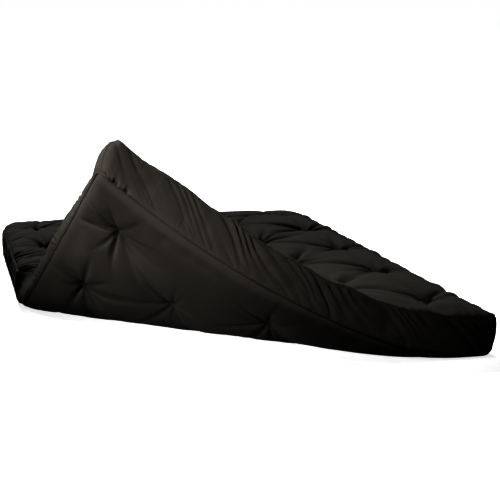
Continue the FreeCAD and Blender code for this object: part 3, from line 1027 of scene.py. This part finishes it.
class FUTON_OT_stitching(bpy.types.Operator):
    """Sew the top and bottom seams, the four corners and the closed fill opening."""

    bl_idname = "futon.make_stitching"
    bl_label = "Make Stitching"

    def execute(self, context):
        sizes = context.scene.futon_sizes
        thread = material_of("waxed_cotton_thread", waxed_thread, context.scene.futon_cloth)
        top = thread_beads("top_seam_thread", ring_path(sizes.thickness - SEAM_STITCH, sizes))
        bottom = thread_beads("bottom_seam_thread", ring_path(SEAM_STITCH, sizes), OPENING)
        finish_piece(top, thread, "thread", "top_seam_stitching")
        finish_piece(bottom, thread, "thread", "bottom_seam_stitching")
        finish_piece(self.corners(), thread, "thread", "corner_stitching")
        finish_piece(self.hand_stitches(sizes), thread, "thread", "closing_stitches")
        return {"FINISHED"}

    def corners(self):
        """Return the upright seam thread at each corner, lying on the border."""
        paths, outs = [], []
        for side in SIDES:
            grid = COVER[side]
            line, _ = resample(np.hstack([grid[0], normals_of(grid)[0]]), CORNER_POINTS)
            line = line[CORNER_CLEAR:-CORNER_CLEAR]
            outs.append(unit(line[:, 3:]))
            paths.append(line[:, :3] + outs[-1] * STITCH_RADIUS)
        return tubes("corner_thread", np.array(paths), np.array(outs), STITCH_RADIUS)

    def hand_stitches(self, sizes):
        """Return slanting stitches over the closed fill opening: each leaves the border above
        the seam, crosses it as an arc, and enters the bottom panel a little further on."""
        front, under = COVER["front"], COVER["bottom_panel"]
        count = int(OPENING // HAND_PITCH) - 1
        u = HAND_PITCH * (np.arange(count) + 1)
        column = np.rint(u / sizes.width * (len(front) - 1)).astype(int)
        heights = np.linalg.norm(front[0] - front[0, 0], axis=-1)
        row = int(np.argmin(np.abs(heights - HAND_HEIGHT)))
        above = front[column, row]
        across = np.rint((u + HAND_SLANT) / sizes.width * (len(under) - 1)).astype(int)
        below = under[across, 1]
        out = unit(normals_of(front)[column, row] - normals_of(under)[across, 1])
        share = np.linspace(0, 1, HAND_POINTS)[None, :, None]
        arc = np.sin(np.pi * share) * HAND_RISE - HAND_SUNK
        paths = above[:, None] * (1 - share) + below[:, None] * share + out[:, None] * arc
        return tubes("closing_thread", paths, out[:, None], HAND_RADIUS)


class FUTON_OT_tufting(bpy.types.Operator):
    """Tie a twine knot into every tuft on both faces, and give the CAD's ties their twine."""

    bl_idname = "futon.make_tufting"
    bl_label = "Make Tufting"

    def execute(self, context):
        sizes = context.scene.futon_sizes
        twine = material_of("waxed_cotton_twine", waxed_thread, context.scene.futon_cloth)
        spots = tufts(sizes)
        column = np.rint((spots[:, 0] - sizes.column_margin)
                         / (sizes.width - 2 * sizes.column_margin) * (sizes.columns - 1))
        for number in range(sizes.columns):
            chosen = spots[column == number]
            for face, side in (("top", -1), ("bottom", 1)):
                piece = self.knots(f"{face}_twine_knots_{number + 1}", chosen, side, sizes)
                finish_piece(piece, twine, "twine", f"{face}_knots_{number + 1}")
            ties = bpy.data.objects[f"tuft_ties_{number + 1}"].data
            ties.materials.clear()
            ties.materials.append(twine)
        return {"FINISHED"}

    def knots(self, name, spots, side, sizes):
        """Return a flattened trefoil knot of twine in each dimple: the path winds twice round
        its axis while it goes three times round its own rim."""
        grid = COVER["top_panel" if side < 0 else "bottom_panel"]
        normal = normals_of(grid) * -side
        i = np.rint(spots[:, 0] / sizes.width * (len(grid) - 1)).astype(int)
        j = np.rint(spots[:, 1] / sizes.length * (grid.shape[1] - 1)).astype(int)
        up = unit(normal[i, j])
        east = unit(np.cross([0.0, 1.0, 0.0], up))
        north = np.cross(up, east)
        turn = np.linspace(0, 2 * np.pi, KNOT_POINTS, endpoint=False)
        reach = KNOT_REACH + KNOT_WIND * np.cos(3 * turn)
        x, y = reach * np.cos(2 * turn), reach * np.sin(2 * turn)
        z = KNOT_WIND * KNOT_FLAT * np.sin(3 * turn) + KNOT_SEAT
        paths = (grid[i, j][:, None] + east[:, None] * x[:, None] + north[:, None] * y[:, None]
                 + up[:, None] * z[:, None])
        return tubes(name, paths, up[:, None], TWINE_RADIUS, closed=True)


class FUTON_OT_filling(bpy.types.Operator):
    """Fill the cover with its five layers, which share the space between the panels."""

    bl_idname = "futon.make_filling"
    bl_label = "Make Filling"

    def execute(self, context):
        cloth = context.scene.futon_cloth
        cotton = material_of("cotton_batting", batting, cloth.batting, BATTING_SCALE)
        needled = material_of("needled_fibre", batting, cloth.core, NEEDLED_SCALE)
        inner = slice(FILL_STEP, -FILL_STEP, FILL_STEP)
        low, high = (COVER[name] for name in ("bottom_panel", "top_panel"))
        low = (low + normals_of(low) * FILL_CLEAR)[inner, inner]
        high = (high - normals_of(high) * FILL_CLEAR)[inner, inner]
        total, done = sum(depth for _, depth in LAYERS), 0
        for name, depth in LAYERS:
            start = (done + LAYER_GAP) / total
            end = (done + depth - LAYER_GAP) / total
            piece = closed_slab(f"{name}_fibre", mix(low, high, start), mix(low, high, end))
            core = name == "core_pad"
            finish_piece(piece, needled if core else cotton, "core" if core else "batting",
                         name, fill=FILL_TIGHT)
            done += depth
        return {"FINISHED"}


class FUTON_OT_stage(bpy.types.Operator):
    """Set the floor, the lights and the camera."""

    bl_idname = "futon.make_stage"
    bl_label = "Make Stage"

    def execute(self, context):
        stage, scene = context.scene.futon_stage, context.scene
        half = FLOOR_REACH
        floor = mesh_object("floor", [(-half, -half, 0), (half, -half, 0), (half, half, 0),
                                      (-half, half, 0)], [(0, 1, 2, 3)])
        floor.visible_diffuse = floor.visible_glossy = False
        paper, _, main = shader("pale_floor", roughness=0.9)
        main.inputs["Base Color"].default_value = (*stage.floor, 1)
        main.inputs["Emission Color"].default_value = (1, 1, 1, 1)
        main.inputs["Emission Strength"].default_value = stage.glow
        floor.data.materials.append(paper)
        scene.world = self.white_room(stage)
        for name, place_at, aim, size, power, beam in SOFTBOXES:
            light = self.hang_light(name, "AREA", power, place_at, aim)
            light.size, light.spread = size, math.radians(beam)
        for name, toward, strength, angle in SKYLIGHTS:
            light = self.hang_light(name, "SUN", strength, toward, (0, 0, 0))
            light.angle = math.radians(angle)
        view = bpy.data.cameras.new("camera")
        view.lens = stage.lens
        camera = bpy.data.objects.new("camera", view)
        camera.location = stage.eye
        camera.rotation_euler = (math.pi / 2 - stage.tilt, 0, -stage.heading)
        scene.collection.objects.link(camera)
        scene.camera = camera
        scene.view_settings.view_transform = "Standard"
        scene.view_settings.gamma = stage.gamma
        return {"FINISHED"}

    def hang_light(self, name, kind, strength, place_at, aim):
        """Hang a light at a place, aim it, and return its settings."""
        light = bpy.data.lights.new(name, kind)
        light.energy = strength
        lamp = bpy.data.objects.new(name, light)
        lamp.location = place_at
        toward = Vector(aim) - Vector(place_at)
        lamp.rotation_euler = toward.to_track_quat("-Z", "Y").to_euler()
        bpy.context.scene.collection.objects.link(lamp)
        return light

    def white_room(self, stage):
        """Return a world that looks white and lights the mattress only faintly."""
        world = bpy.data.worlds.new("studio")
        world.use_nodes = True
        tree = world.node_tree
        faint = tree.nodes["Background"]
        white = node(tree, "ShaderNodeBackground", Color=(1, 1, 1, 1), Strength=1.0)
        faint.inputs["Color"].default_value = (1, 1, 1, 1)
        faint.inputs["Strength"].default_value = stage.ambient
        seen = node(tree, "ShaderNodeLightPath")
        choice = node(tree, "ShaderNodeMixShader")
        tree.links.new(seen.outputs["Is Camera Ray"], choice.inputs["Fac"])
        tree.links.new(faint.outputs[0], choice.inputs[1])
        tree.links.new(white.outputs[0], choice.inputs[2])
        tree.links.new(choice.outputs[0], tree.nodes["World Output"].inputs["Surface"])
        return world


class FUTON_PT_panel(bpy.types.Panel):
    """List the mattress's operators and sizes in the sidebar."""

    bl_idname = "FUTON_PT_panel"
    bl_label = "Futon Mattress"
    bl_space_type = "VIEW_3D"
    bl_region_type = "UI"
    bl_category = "Futon"

    def draw(self, context):
        for operator in OPERATORS:
            self.layout.operator(operator.bl_idname)
        for settings in GROUPS:
            values = getattr(context.scene, settings)
            for name in values.bl_rna.properties.keys():
                if name not in ("rna_type", "name"):
                    self.layout.prop(values, name)


GROUPS = {"futon_sizes": FutonSizes, "futon_cloth": FutonCloth, "futon_stage": FutonStage}
OPERATORS = (FUTON_OT_cover, FUTON_OT_filling, FUTON_OT_stitching, FUTON_OT_tufting,
             FUTON_OT_stage)


def register():
    """Register the settings, the operators and the panel."""
    for name, settings in GROUPS.items():
        bpy.utils.register_class(settings)
        setattr(bpy.types.Scene, name, PointerProperty(type=settings))
    for thing in (*OPERATORS, FUTON_PT_panel):
        bpy.utils.register_class(thing)


def unregister():
    """Undo register."""
    for thing in (FUTON_PT_panel, *reversed(OPERATORS)):
        bpy.utils.unregister_class(thing)
    for name, settings in GROUPS.items():
        delattr(bpy.types.Scene, name)
        bpy.utils.unregister_class(settings)


def main():
    register()
    for operator in OPERATORS:
        group, name = operator.bl_idname.split(".")
        getattr(getattr(bpy.ops, group), name)()
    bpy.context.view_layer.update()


if __name__ == "__main__":
    main()
